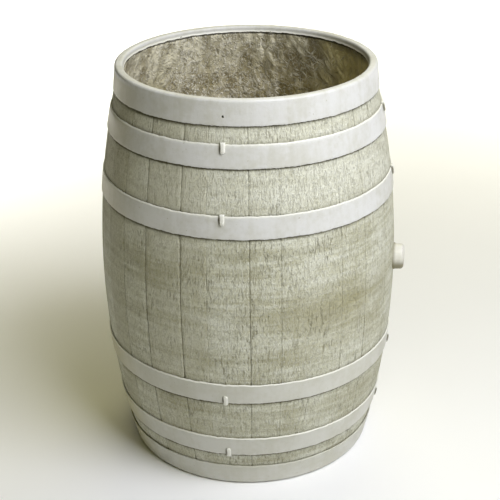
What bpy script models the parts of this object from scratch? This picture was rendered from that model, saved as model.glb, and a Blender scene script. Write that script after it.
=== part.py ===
"""An open-topped drum moulded in glass fibre as a copy of an oak wine cask.

A staved outer moulding, backed by a lining of glass mat, is closed by a flat base and
finished at the mouth by a rolled collar. Four hoops and a foot hoop go round it. Each hoop
has four clips over its edge, and a tapered bung plugs the hole at the belly.

Run it with: blender --background --python part.py
Units are metres, +Z is up. The origin is on the drum's axis at its underside, and +X points
at the bung.
"""

import math

import bmesh
import bpy
from mathutils import Matrix, Vector

# The whole drum
HEIGHT = 0.950
BELLY_HEIGHT = 0.458        # where the drum is widest
BELLY_RADIUS = 0.3487
MOUTH_RADIUS = 0.284        # over the staves, at the top
FOOT_RADIUS = 0.289         # over the staves, at the underside

# The wall
SKIN = 0.0032               # staved moulding
MAT = 0.0028                # glass mat behind it
GAP = 0.0003                # between pieces that touch
MAT_CLEAR = 0.0011          # skin to mat, which leaves room for the skin's straight facets
WALL_TOP = 0.940            # the wall ends inside the collar's channel
LINING_TOP = 0.935          # just under the collar's lip
WALL_ROWS = 10

# The staves: the widths repeat on every quarter of the drum, in degrees
STAVE_WIDTHS = (15.5, 10.2, 15.6, 11.4, 12.3, 12.3, 12.7)
FIRST_SEAM = -121.5
SEAM_WIDTH = 0.0036
SEAM_DEPTH = 0.0015

# The hoops
HOOP_WIDTH = 0.0505
HOOP_PROUD = 0.0032         # outer face over the staves
HOOP_LIFT = 0.0010          # inner face over the staves, which are rounder than its facets
HOOP_EDGE = 0.0008          # chamfer
HOOPS = {
    "upper_quarter": 0.8330,
    "upper_bilge": 0.6826,
    "lower_bilge": 0.2768,
    "lower_quarter": 0.1214,
}

# The collar at the mouth, and the foot
COLLAR_LOW = 0.8950
COLLAR_WALL = 0.0032
RIM_RADIUS = 0.296          # outer face at the rim; it stands straighter than the staves
RIM_ROLL = 0.0065           # outer rounding of the rim
LIP_RADIUS = 0.2765         # inner face of the turned-down lip
LIP_DEPTH = 0.0145
LIP_ROLL = 0.0055
NAIL_RADIUS = 0.0021
NAIL_HEIGHT = 0.915
FOOT_HIGH = 0.0583
FOOT_ROLL = 0.012
FOOT_LEDGE = 0.0052         # thickness of the turned-in flange that the wall stands on
BASE_RADIUS = 0.2738
BASE_THICKNESS = 0.006
BOND_SIZE = 0.028           # legs of the laminate fillet between lining and base

# The clips over the hoops' edges
CLIP_WIDTH = 0.0088
CLIP_LENGTH = 0.0175        # on the hoop's face
CLIP_PROUD = 0.0034
CLIP_HOOK = 0.0032          # past the hoop's edge
CLIP_GAP = 0.0004
HOOP_LEAN = 0.27            # the hoops' edges are level while their faces lean by up to this
SIDES = {"bung_side": 0.0, "rear": 90.0, "far_side": 180.0, "front": 270.0}

# The bung
BUNG_HEIGHT = 0.480
BUNG_HOLE = 0.0262
BUNG_STEM = 0.0256
BUNG_STEM_END = 0.0236
BUNG_IN = 0.021             # reach of the stem behind the stave's face
BUNG_HEAD = 0.0320
BUNG_HEAD_END = 0.0300
BUNG_OUT = 0.0245
BUNG_EDGE = 0.0045

STEPS = 64                  # facets of the hoops, collar, foot and base
LINING_STEPS = 48
LINING_ROWS = 6

CREAM = (0.80, 0.79, 0.72, 1.0)
SAGE = (0.52, 0.51, 0.40, 1.0)
RAW_MAT = (0.24, 0.21, 0.14, 1.0)


def arc_radius(drop, run):
    """Radius of the arc that falls by drop over run, starting level."""
    return (run * run + drop * drop) / (2 * drop)


def stave_radius(z):
    """Radius over the staves at height z: one arc above the belly and one below it."""
    if z > BELLY_HEIGHT:
        bow = arc_radius(BELLY_RADIUS - MOUTH_RADIUS, HEIGHT - BELLY_HEIGHT)
    else:
        bow = arc_radius(BELLY_RADIUS - FOOT_RADIUS, BELLY_HEIGHT)
    rise = z - BELLY_HEIGHT
    return BELLY_RADIUS - bow + math.sqrt(bow * bow - rise * rise)


def stave_slope(z):
    """Change of the staves' radius with height, at height z."""
    step = 0.001
    return (stave_radius(z + step) - stave_radius(z - step)) / (2 * step)


def quarter_round(centre_r, centre_z, radius, start, end, count):
    """Points of an arc in the profile's plane, from angle start to end, in degrees."""
    points = []
    for i in range(count + 1):
        angle = math.radians(start + (end - start) * i / count)
        points.append((centre_r + radius * math.cos(angle), centre_z + radius * math.sin(angle)))
    return points


def make_material(name, color, roughness):
    material = bpy.data.materials.new(name)
    material.use_nodes = True
    shader = material.node_tree.nodes["Principled BSDF"]
    shader.inputs["Base Color"].default_value = color
    shader.inputs["Roughness"].default_value = roughness
    material.diffuse_color = color
    return material


def add_object(name, mesh, material, collection):
    obj = bpy.data.objects.new(name, mesh)
    mesh.materials.append(material)
    collection.objects.link(obj)
    return obj


def turned(name, profile, steps, material, collection, closed=True):
    """A profile of (radius, height) points turned round the drum's axis by a Screw."""
    mesh = bpy.data.meshes.new(name)
    edges = [(i, i + 1) for i in range(len(profile) - 1)]
    if closed:
        edges.append((len(profile) - 1, 0))
    mesh.from_pydata([(r, 0.0, z) for r, z in profile], edges, [])
    obj = add_object(name, mesh, material, collection)
    screw = obj.modifiers.new("turn", "SCREW")
    screw.steps = steps
    screw.render_steps = steps
    screw.use_merge_vertices = True
    screw.merge_threshold = 0.00001
    screw.use_smooth_shade = True
    return obj


def cut(obj, cutter):
    boolean = obj.modifiers.new("cut " + cutter.name, "BOOLEAN")
    boolean.operation = "DIFFERENCE"
    boolean.object = cutter


def cylinder_cutter(name, radius, start, end, collection, vertices=32):
    """A cutter in the shape of a rod from start to end."""
    mesh = bpy.data.meshes.new(name)
    shape = bmesh.new()
    length = (end - start).length
    bmesh.ops.create_cone(
        shape, cap_ends=True, segments=vertices, radius1=radius, radius2=radius, depth=length)
    shape.to_mesh(mesh)
    shape.free()
    obj = bpy.data.objects.new(name, mesh)
    turn = Vector((0, 0, 1)).rotation_difference(end - start).to_matrix().to_4x4()
    obj.matrix_world = Matrix.Translation((start + end) / 2) @ turn
    obj.display_type = "WIRE"
    obj.hide_render = True
    collection.objects.link(obj)
    return obj


def stave_columns():
    """Angle and depth of each upright line of the staved moulding.

    Every stave has the bottom of its seam, the two edges beside it, and its own middle line.
    """
    half_seam = math.degrees(SEAM_WIDTH / 2 / BELLY_RADIUS)
    columns = []
    seam = FIRST_SEAM
    for width in STAVE_WIDTHS * 4:
        columns.append((seam, SEAM_DEPTH))
        columns.append((seam + half_seam, 0.0))
        columns.append((seam + width / 2, 0.0))
        columns.append((seam + width - half_seam, 0.0))
        seam += width
    return columns


def make_stave_shell(material, collection):
    """A grid wrapped round the drum, with its seams pressed in, and thickened inwards."""
    columns = stave_columns()
    shape = bmesh.new()
    bmesh.ops.create_grid(shape, x_segments=len(columns), y_segments=WALL_ROWS - 1, size=0.5)
    low = FOOT_LEDGE + GAP
    for vertex in shape.verts:
        column = round((vertex.co.x + 0.5) * len(columns)) % len(columns)
        angle, depth = columns[column]
        z = low + (vertex.co.y + 0.5) * (WALL_TOP - low)
        radius = stave_radius(z) - depth
        turn = math.radians(angle)
        vertex.co = (radius * math.cos(turn), radius * math.sin(turn), z)
    bmesh.ops.remove_doubles(shape, verts=shape.verts, dist=0.00001)
    mesh = bpy.data.meshes.new("stave_shell")
    shape.to_mesh(mesh)
    shape.free()
    obj = add_object("stave_shell", mesh, material, collection)
    wall = obj.modifiers.new("wall", "SOLIDIFY")
    wall.thickness = SKIN
    wall.offset = -1.0
    return obj


def lining_radius(z):
    """Outer radius of the mat lining: behind the skin and the backs of its seams."""
    return stave_radius(z) - SKIN - SEAM_DEPTH - MAT_CLEAR


def make_lining(material, collection):
    """The mat lining, with a row of points where the fillet at the base ends."""
    bond_top = BASE_THICKNESS + GAP + BOND_SIZE
    drop = LINING_TOP - bond_top
    heights = [LINING_TOP - drop * i / LINING_ROWS for i in range(LINING_ROWS + 1)]
    heights.append(FOOT_LEDGE + GAP)
    outer = [(lining_radius(z), z) for z in heights]
    obj = turned("glass_mat_lining", outer, LINING_STEPS, material, collection, closed=False)
    wall = obj.modifiers.new("wall", "SOLIDIFY")
    wall.thickness = MAT
    wall.offset = -1.0
    return obj


def make_hoop(name, middle, material, collection):
    low = middle - HOOP_WIDTH / 2
    high = middle + HOOP_WIDTH / 2
    profile = [
        (stave_radius(high) + HOOP_PROUD - HOOP_EDGE, high),
        (stave_radius(high) + HOOP_PROUD, high - HOOP_EDGE),
        (stave_radius(low) + HOOP_PROUD, low + HOOP_EDGE),
        (stave_radius(low) + HOOP_PROUD - HOOP_EDGE, low),
        (stave_radius(low) + HOOP_LIFT, low),
        (stave_radius(high) + HOOP_LIFT, high),
    ]
    return turned(name, profile, STEPS, material, collection)


def make_collar(material, collection, cutters):
    """The top hoop band, rolled over the wall's edge and down again as a lip inside."""
    roll_z = HEIGHT - RIM_ROLL
    face = stave_radius(COLLAR_LOW) + HOOP_PROUD
    middle = (roll_z + COLLAR_LOW) / 2
    under = HEIGHT - COLLAR_WALL
    profile = quarter_round(LIP_RADIUS + LIP_ROLL, HEIGHT - LIP_ROLL, LIP_ROLL, 180, 90, 2)
    profile += quarter_round(RIM_RADIUS - RIM_ROLL, roll_z, RIM_ROLL, 90, 0, 3)
    profile += [
        (face, COLLAR_LOW + HOOP_EDGE),
        (face - HOOP_EDGE, COLLAR_LOW),
        (stave_radius(COLLAR_LOW) + HOOP_LIFT, COLLAR_LOW),
        (stave_radius(middle) + HOOP_LIFT, middle),
        (stave_radius(WALL_TOP) + HOOP_LIFT, WALL_TOP),
        (RIM_RADIUS - RIM_ROLL, under),
        (LIP_RADIUS + LIP_ROLL, under),
        (LIP_RADIUS + COLLAR_WALL, HEIGHT - LIP_ROLL),
        (LIP_RADIUS + COLLAR_WALL, HEIGHT - LIP_DEPTH),
        (LIP_RADIUS, HEIGHT - LIP_DEPTH),
    ]
    obj = turned("rim_collar", profile, STEPS, material, collection)
    for side, degrees in SIDES.items():
        turn = math.radians(degrees)
        outwards = Vector((math.cos(turn), math.sin(turn), 0))
        root = Vector((0, 0, NAIL_HEIGHT))
        near = root + outwards * (stave_radius(NAIL_HEIGHT) + GAP)
        far = root + outwards * (stave_radius(NAIL_HEIGHT) + 0.01)
        cut(obj, cylinder_cutter("nail_hole_" + side, NAIL_RADIUS, near, far, cutters, 10))
    return obj


def make_foot(material, collection):
    """The foot hoop, rounded under the drum into the flange that the wall stands on."""
    face = stave_radius(FOOT_ROLL) + HOOP_PROUD
    profile = [
        (stave_radius(FOOT_HIGH) + HOOP_PROUD - HOOP_EDGE, FOOT_HIGH),
        (stave_radius(FOOT_HIGH) + HOOP_PROUD, FOOT_HIGH - HOOP_EDGE),
    ]
    profile += quarter_round(face - FOOT_ROLL, FOOT_ROLL, FOOT_ROLL, 0, -90, 4)
    profile += [
        (BASE_RADIUS + GAP, 0.0),
        (BASE_RADIUS + GAP, FOOT_LEDGE),
        (stave_radius(FOOT_LEDGE) + HOOP_LIFT, FOOT_LEDGE),
        (stave_radius(FOOT_HIGH) + HOOP_LIFT, FOOT_HIGH),
    ]
    return turned("foot_hoop", profile, STEPS, material, collection)


def make_base(material, collection):
    """The flat closed base, let into the foot's flange and flush with it."""
    mesh = bpy.data.meshes.new("base_head")
    shape = bmesh.new()
    bmesh.ops.create_cone(shape, cap_ends=True, segments=STEPS, radius1=BASE_RADIUS,
                          radius2=BASE_RADIUS, depth=BASE_THICKNESS)
    bmesh.ops.translate(shape, verts=shape.verts, vec=(0, 0, BASE_THICKNESS / 2))
    shape.to_mesh(mesh)
    shape.free()
    return add_object("base_head", mesh, material, collection)


def make_bond(material, collection):
    """The fillet of wet mat that bonds the lining to the base, hollow on its face."""
    floor = BASE_THICKNESS + GAP
    clear = 0.0006

    def wall_radius(z):
        return lining_radius(z) - MAT - clear

    corner = wall_radius(floor)
    top = floor + BOND_SIZE
    sweep = quarter_round(corner - BOND_SIZE, top, BOND_SIZE, 0, -90, 4)
    profile = [(wall_radius(top), top), (corner, floor)]
    profile += [(corner - BOND_SIZE, floor)]
    profile += [(r, z + 0.002) for r, z in reversed(sweep[1:])]
    return turned("base_bond_fillet", profile, LINING_STEPS, material, collection)


def clip_mesh(name, edge):
    """One hoop clip: a tongue on the hoop's face, hooked over its upper (edge=1) or lower edge.

    In its own axes X is round the drum, Y is out of it and Z runs up the hoop. The origin is
    on the hoop's outer corner.
    """
    rise = 0.0012
    root = GAP - HOOP_PROUD + 0.0004
    side = [
        (CLIP_HOOK, root),
        (CLIP_HOOK, CLIP_PROUD - rise),
        (CLIP_HOOK - rise, CLIP_PROUD),
        (-CLIP_LENGTH + 0.005, CLIP_PROUD),
        (-CLIP_LENGTH, rise + GAP),
        (-CLIP_LENGTH, GAP),
        (CLIP_GAP, GAP),
        (CLIP_GAP + HOOP_LEAN * HOOP_PROUD, root),
    ]
    shape = bmesh.new()
    corners = [shape.verts.new((-CLIP_WIDTH / 2, out, along * edge)) for along, out in side]
    face = shape.faces.new(corners)
    grown = bmesh.ops.extrude_face_region(shape, geom=[face])["geom"]
    moved = [item for item in grown if isinstance(item, bmesh.types.BMVert)]
    bmesh.ops.translate(shape, verts=moved, vec=(CLIP_WIDTH, 0, 0))
    # The tongue's end is rounded in the plane of the hoop.
    tip = -edge * CLIP_LENGTH
    ends = [e for e in shape.edges if abs(e.verts[0].co.x) > CLIP_WIDTH / 3
            and e.verts[0].co.x == e.verts[1].co.x
            and abs(e.verts[0].co.z - tip) < GAP and abs(e.verts[1].co.z - tip) < GAP]
    bmesh.ops.bevel(shape, geom=ends, offset=CLIP_WIDTH * 0.36, segments=2, affect="EDGES")
    bmesh.ops.recalc_face_normals(shape, faces=shape.faces)
    mesh = bpy.data.meshes.new(name)
    shape.to_mesh(mesh)
    shape.free()
    return mesh


def place_clip(obj, degrees, z):
    """Stand a clip on the hoop's outer corner at height z and angle degrees."""
    turn = math.radians(degrees)
    slope = stave_slope(z)
    outwards = Vector((math.cos(turn), math.sin(turn), -slope)).normalized()
    upwards = Vector((slope * math.cos(turn), slope * math.sin(turn), 1)).normalized()
    across = outwards.cross(upwards)
    radius = stave_radius(z) + HOOP_PROUD
    place = Vector((radius * math.cos(turn), radius * math.sin(turn), z))
    axes = Matrix((across, outwards, upwards)).transposed().to_4x4()
    obj.matrix_world = Matrix.Translation(place) @ axes


def make_clips(material, collection):
    """Four clips to a hoop, on the edge that faces the nearer end of the drum."""
    over_top = clip_mesh("clip_over_top_edge", 1)
    under_low = clip_mesh("clip_under_low_edge", -1)
    over_top.materials.append(material)
    under_low.materials.append(material)
    for hoop, middle in HOOPS.items():
        upper = middle > BELLY_HEIGHT
        mesh = over_top if upper else under_low
        z = middle + (HOOP_WIDTH / 2 if upper else -HOOP_WIDTH / 2)
        for side, degrees in SIDES.items():
            obj = bpy.data.objects.new(f"{hoop}_clip_{side}", mesh)
            collection.objects.link(obj)
            place_clip(obj, degrees, z)


def make_bung(material, collection, cutters):
    """A tapered plug: its head is cut to the staves' curve and its stem fills the hole."""
    face = stave_radius(BUNG_HEIGHT)
    profile = [(0.0, BUNG_OUT), (BUNG_HEAD_END - BUNG_EDGE, BUNG_OUT)]
    profile += quarter_round(
        BUNG_HEAD_END - BUNG_EDGE, BUNG_OUT - BUNG_EDGE, BUNG_EDGE, 60, 0, 2)
    profile += [
        (BUNG_HEAD, -0.004),
        (BUNG_STEM, -0.004),
        (BUNG_STEM_END, -BUNG_IN),
        (0.0, -BUNG_IN),
    ]
    obj = turned("bung", profile, 24, material, collection, closed=False)
    obj.matrix_world = (Matrix.Translation((face, 0, BUNG_HEIGHT))
                        @ Matrix.Rotation(math.radians(90), 4, "Y"))

    # The head's seat: the drum's outer face round the hole, left open where the stem passes.
    reach = BUNG_HEAD * 1.5
    heights = [BUNG_HEIGHT + reach * (1 - i / 3) for i in range(7)]
    outer = [(stave_radius(z) + GAP, z) for z in heights]
    seat = turned("bung_seat", [(0.2, heights[0])] + outer + [(0.2, heights[-1])], 160,
                  material, cutters)
    seat.display_type = "WIRE"
    seat.hide_render = True
    start = Vector((0.1, 0, BUNG_HEIGHT))
    end = Vector((0.5, 0, BUNG_HEIGHT))
    cut(seat, cylinder_cutter("bung_stem_way", BUNG_STEM + GAP, start, end, cutters))
    cut(obj, seat)
    return obj


def bore_bung_hole(pieces, cutters):
    start = Vector((BELLY_RADIUS - 0.05, 0, BUNG_HEIGHT))
    end = Vector((BELLY_RADIUS + 0.05, 0, BUNG_HEIGHT))
    cutter = cylinder_cutter("bung_hole", BUNG_HOLE, start, end, cutters)
    for piece in pieces:
        cut(piece, cutter)


def main():
    for obj in list(bpy.data.objects):
        bpy.data.objects.remove(obj, do_unlink=True)
    drum = bpy.data.collections.new("open_head_drum")
    cutters = bpy.data.collections.new("cutters")
    bpy.context.scene.collection.children.link(drum)
    bpy.context.scene.collection.children.link(cutters)

    cream = make_material("cream_gelcoat", CREAM, 0.42)
    sage = make_material("washed_stave_gelcoat", SAGE, 0.7)
    raw = make_material("raw_glass_mat", RAW_MAT, 0.6)

    shell = make_stave_shell(sage, drum)
    lining = make_lining(raw, drum)
    bore_bung_hole((shell, lining), cutters)
    make_collar(cream, drum, cutters)
    for name, middle in HOOPS.items():
        make_hoop(name + "_hoop", middle, cream, drum)
    make_foot(cream, drum)
    make_base(sage, drum)
    make_bond(raw, drum)
    make_clips(cream, drum)
    make_bung(cream, drum, cutters)


main()
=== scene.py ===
# %% [markdown]
# # An open drum moulded as a wine cask
#
# The object is a full-size copy of an oak cask, laid up in glass fibre and left open at the top.
# Its outside was taken from a real cask, so it carries the staves, the saw marks and the hoops of
# the original in one thin wall. Its inside is raw glass mat, rough and brown. A bung plugs the
# hole at the belly, and it is the one piece that comes out.
#
# Every piece below stands in for a plain solid that already has the right size and place. This
# script only gives those solids their real surface. All lengths are in metres.

# %% Load the plain solids
import math
import random

import bmesh
import bpy
import numpy as np
from mathutils import Matrix, Vector


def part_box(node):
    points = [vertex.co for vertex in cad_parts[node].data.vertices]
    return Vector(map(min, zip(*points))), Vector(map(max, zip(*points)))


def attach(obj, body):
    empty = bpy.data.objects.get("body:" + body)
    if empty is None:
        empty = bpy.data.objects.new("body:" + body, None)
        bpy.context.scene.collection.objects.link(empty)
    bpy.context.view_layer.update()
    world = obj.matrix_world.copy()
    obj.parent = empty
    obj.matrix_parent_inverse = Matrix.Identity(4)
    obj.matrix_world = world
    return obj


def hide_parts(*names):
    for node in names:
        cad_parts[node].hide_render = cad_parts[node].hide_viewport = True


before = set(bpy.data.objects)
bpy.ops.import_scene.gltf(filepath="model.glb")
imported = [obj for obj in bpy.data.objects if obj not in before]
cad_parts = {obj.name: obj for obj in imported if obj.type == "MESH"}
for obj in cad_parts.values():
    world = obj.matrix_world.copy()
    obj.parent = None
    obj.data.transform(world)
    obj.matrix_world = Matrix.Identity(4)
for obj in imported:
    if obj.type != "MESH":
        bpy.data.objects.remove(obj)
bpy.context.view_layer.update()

# %% [markdown]
# ## The cask's outline
#
# A cask's staves bend into one long arc. Here the top half and the foot half each have an arc of
# their own, and the two meet level at the belly. Four numbers give the whole outline, and every
# turned piece asks `stave_radius` where the wall is.

# %% Outline of the staves
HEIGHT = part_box("rim_collar")[1].z
BELLY_HEIGHT = 0.458
BELLY_RADIUS = 0.3487
MOUTH_RADIUS = 0.284
FOOT_RADIUS = 0.289


def arc_radius(drop, run):
    """Radius of the arc that falls by drop over run, starting level."""
    return (run * run + drop * drop) / (2 * drop)


TOP_BOW = arc_radius(BELLY_RADIUS - MOUTH_RADIUS, HEIGHT - BELLY_HEIGHT)
FOOT_BOW = arc_radius(BELLY_RADIUS - FOOT_RADIUS, BELLY_HEIGHT)


def stave_radius(z):
    """Radius over the staves at height z."""
    bow = TOP_BOW if z > BELLY_HEIGHT else FOOT_BOW
    return BELLY_RADIUS - bow + math.sqrt(bow * bow - (z - BELLY_HEIGHT) ** 2)


def wall_line(gap, heights):
    """Section points at these heights, each gap outside the staves."""
    return [(stave_radius(z) + gap, z) for z in heights]


def span(node):
    """Lowest and highest point of a plain solid."""
    low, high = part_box(node)
    return low.z, high.z


print("belly", 2 * BELLY_RADIUS, "mouth", 2 * stave_radius(HEIGHT), "foot", 2 * stave_radius(0))

# %% [markdown]
# ## Writing node trees as sums
#
# A finish is mostly arithmetic on noise: this much grain, plus that much stain, kept off the
# seams. Written out node by node, such sums are hard to read. So one small class holds an output
# socket and turns Python's operators into Math nodes, and one method makes every other node. The
# same two serve for materials and for Geometry Nodes.

# %% A socket that does arithmetic
class Wire:
    """An output socket. Sums and products of wires become Math nodes in the same tree."""

    def __init__(self, tree, socket):
        self.tree = tree
        self.socket = socket

    def __add__(self, other):
        return self.tree.math("ADD", self, other)

    def __sub__(self, other):
        return self.tree.math("SUBTRACT", self, other)

    def __mul__(self, other):
        return self.tree.math("MULTIPLY", self, other)

    def __truediv__(self, other):
        return self.tree.math("DIVIDE", self, other)

    def __rsub__(self, other):
        return self.tree.math("SUBTRACT", other, self)

    def __abs__(self):
        return self.tree.math("ABSOLUTE", self)

    __radd__ = __add__
    __rmul__ = __mul__


class Tree:
    """A node tree that is built by calls: values go to sockets, and wires are linked to them."""

    def __init__(self, tree):
        self.tree = tree

    def node(self, kind, settings=None, sockets=None, out=0):
        """Adds a node, sets its settings and then its sockets, and returns one output."""
        node = self.tree.nodes.new(kind)
        for name, value in (settings or {}).items():
            if name == "stops":
                self.set_stops(node.color_ramp, value)
            else:
                setattr(node, name, value)
        for key, value in (sockets or {}).items():
            if isinstance(value, Wire):
                self.tree.links.new(value.socket, node.inputs[key])
            else:
                node.inputs[key].default_value = value
        return Wire(self, node.outputs[out])

    @staticmethod
    def set_stops(ramp, stops):
        while len(ramp.elements) < len(stops):
            ramp.elements.new(1.0)
        for element, (place, shade) in zip(ramp.elements, stops):
            element.position = place
            element.color = (*shade, 1.0) if isinstance(shade, tuple) else (shade,) * 3 + (1.0,)

    def math(self, operation, *values):
        """One Math node, for operations that have no Python operator."""
        return self.node("ShaderNodeMath", {"operation": operation}, dict(enumerate(values)))

    def strongest(self, wires):
        """The greatest of several masks at each point."""
        most = wires[0]
        for wire in wires[1:]:
            most = self.math("MAXIMUM", most, wire)
        return most

    def vector(self, operation, first, second=(0.0, 0.0, 0.0), out=0):
        return self.node("ShaderNodeVectorMath", {"operation": operation},
                         {0: first, 1: second}, out)

    def join(self, x, y, z):
        return self.node("ShaderNodeCombineXYZ", None, {0: x, 1: y, 2: z})

    def part(self, vector, axis):
        return self.node("ShaderNodeSeparateXYZ", None, {0: vector}, "XYZ".index(axis))

    def noise(self, where, scale, up=1.0, detail=2.0, rough=0.5, shift=0.0, level=1.0):
        """Noise from 0 to 1, about 1 / scale metres to a wave. A small up draws it out upright, and
        a small level draws it out sideways."""
        stretched = self.vector("MULTIPLY", where, (level, level, up))
        moved = self.vector("ADD", stretched, (shift, 0.0, shift))
        return self.node("ShaderNodeTexNoise", {"noise_dimensions": "3D"},
                         {"Vector": moved, "Scale": scale, "Detail": detail, "Roughness": rough})

    def smooth(self, value, low, high):
        """0 below low and 1 above high, with a soft step between them."""
        return self.node("ShaderNodeMapRange", {"interpolation_type": "SMOOTHSTEP"},
                         {"Value": value, "From Min": low, "From Max": high})

    def attribute(self, name):
        """A number stored on the mesh, in a material."""
        return self.node("ShaderNodeAttribute", {"attribute_name": name}, None, "Fac")


# %% [markdown]
# ## Patterns that follow the wall
#
# Grain has to run along the staves, which lean in towards both ends. Plain object coordinates
# would cut across them. So each point is pushed out to the belly's radius before any noise reads
# it: grain then keeps to its stave from foot to mouth, and the pattern has no seam at the back.

# %% Coordinates pushed out to a straight cylinder
def wall_coordinates(tree, position):
    """The point beside position on an upright cylinder of the belly's radius."""
    flat = tree.vector("MULTIPLY", position, (1.0, 1.0, 0.0))
    outwards = tree.vector("NORMALIZE", flat)
    round_wall = tree.vector("MULTIPLY", outwards, (BELLY_RADIUS, BELLY_RADIUS, 0.0))
    up = tree.vector("MULTIPLY", position, (0.0, 0.0, 1.0))
    return tree.vector("ADD", round_wall, up)


def wall_point(degrees, z):
    """The same coordinates of a place given by its angle round the drum and its height."""
    turn = math.radians(degrees)
    return (BELLY_RADIUS * math.cos(turn), BELLY_RADIUS * math.sin(turn), z)


def distance_to(tree, where, degrees, z, stretch=(1.0, 1.0, 1.0)):
    """Distance from a place on the wall, counted less along an axis whose stretch is small."""
    apart = tree.vector("SUBTRACT", where, wall_point(degrees, z))
    return tree.vector("LENGTH", tree.vector("MULTIPLY", apart, stretch), out=1)


# %% A material to start from
class Finish(Tree):
    """A material with one Principled shader, and the object's own coordinates."""

    def __init__(self, name, **constants):
        self.material = bpy.data.materials.new(name)
        self.material.use_nodes = True
        super().__init__(self.material.node_tree)
        self.shader = self.tree.nodes["Principled BSDF"]
        for socket, value in constants.items():
            self.shader.inputs[socket.replace("_", " ")].default_value = value
        self.place = self.node("ShaderNodeTexCoord", None, None, "Object")
        self.wall = wall_coordinates(self, self.place)
        self.z = self.part(self.place, "Z")
        # 1 on the side where the bung is, and -1 on the side opposite.
        flat = self.vector("MULTIPLY", self.place, (1.0, 1.0, 0.0))
        self.side = self.part(self.vector("NORMALIZE", flat), "X")

    def mix(self, factor, first, second):
        """Two colours mixed by a factor."""
        colors = [c if isinstance(c, Wire) else (*c, 1.0) for c in (first, second)]
        return self.node("ShaderNodeMix", {"data_type": "RGBA", "blend_type": "MIX"},
                         {0: factor, 6: colors[0], 7: colors[1]}, 2)

    def tint(self, strength, color):
        """Lays one more colour over the finish so far."""
        self.color = self.mix(strength, self.color, color)

    def ramp(self, factor, stops):
        """Colours or strengths read off a ramp."""
        return self.node("ShaderNodeValToRGB", {"stops": stops}, {"Fac": factor})

    def surface(self, roughness, height, depth):
        """Sends the colour, a roughness and a height in metres to the shader."""
        bump = self.node("ShaderNodeBump", None, {"Height": height, "Distance": depth})
        for name, wire in (("Base Color", self.color), ("Roughness", roughness), ("Normal", bump)):
            self.tree.links.new(wire.socket, self.shader.inputs[name])
        print(f"{self.material.name}: {len(self.tree.nodes)} nodes")
        return self.material


# %% [markdown]
# ## The staves' finish
#
# The gelcoat is a sage grey-green, washed over with off-white so that the hollows of the grain
# stay dark. Four things make it read as old oak: short upright pores, faint level saw marks, soft
# cloudy patches, and olive dirt in the seams. Along both edges of each hoop lies a dark line of
# dirt and painted shade, and painted shade darkens the side away from the bung. One long
# brown stain lies across the belly.

# %% Heights of the hoops
HOOPS = ("upper_quarter_hoop", "upper_bilge_hoop", "lower_bilge_hoop", "lower_quarter_hoop")
hoop_spans = {name: span(name) for name in HOOPS}
hoop_spans["rim_collar"] = span("rim_collar")
hoop_spans["foot_hoop"] = (0.0, span("foot_hoop")[1])
for name, (low, high) in hoop_spans.items():
    print(f"{name}: {low:.3f} to {high:.3f}")

# %% Height of the bung
bung_low, bung_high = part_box("bung")
BUNG_HEIGHT = (bung_low.z + bung_high.z) / 2
print("bung hole at", BUNG_HEIGHT)

# %% Washed staves
def hoop_dirt_and_shade_stops():
    """Heights, as a share of the drum's, and how much dirt and painted shade lies beside each hoop
    there.
    """
    stops = []
    for low, high in sorted(hoop_spans.values()):
        if low > 0:
            stops += [(low - 0.016, 0), (low - 0.006, 0.24), (low - 0.0026, 1)]
        if high < HEIGHT:
            stops += [(high + 0.0012, 0.5), (high + 0.0034, 0.24), (high + 0.014, 0)]
    return [(z / HEIGHT, dirt_and_shade) for z, dirt_and_shade in stops]


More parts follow.
